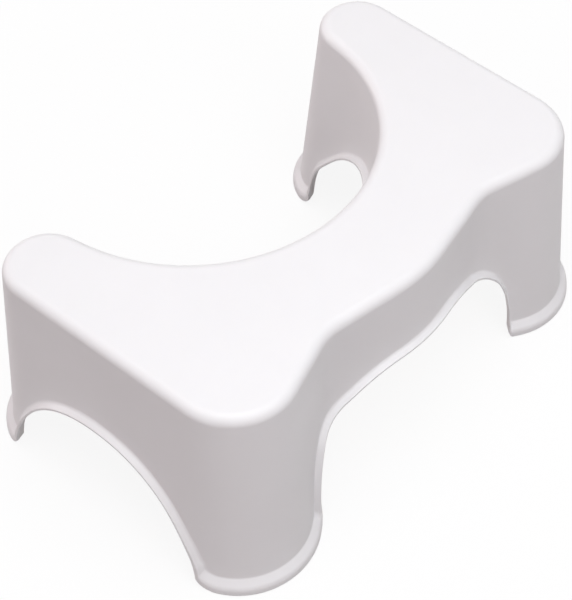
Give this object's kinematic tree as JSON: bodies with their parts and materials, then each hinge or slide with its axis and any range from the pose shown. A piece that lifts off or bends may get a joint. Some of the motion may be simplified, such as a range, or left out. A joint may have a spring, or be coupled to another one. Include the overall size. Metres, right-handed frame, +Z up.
{
  "type": "toilet stool",
  "caption": "Low white moulded plastic stool with a deep rounded recess that fits round a toilet, a wavy front, arched sides, an outturned lip and soft grip strips under its feet.",
  "frame": {"origin": "middle of the footprint, on the floor, under the bottoms of the grip strips", "axes": "+Z up; +Y towards the toilet, out of the open side of the recess; +X along the length, with the long straight ends at -X and +X"},
  "size_m": [0.4408, 0.279, 0.18],
  "materials": {
    "white_polypropylene": "white polypropylene with a soft gloss",
    "soft_grip": "matt light grey thermoplastic rubber"
  },
  "bodies": {
    "root": {"stool_shell": "white_polypropylene", "foot_grip_front_left": "soft_grip", "foot_grip_front_right": "soft_grip", "foot_grip_back_left": "soft_grip", "foot_grip_back_right": "soft_grip"}
  },
  "joints": []
}
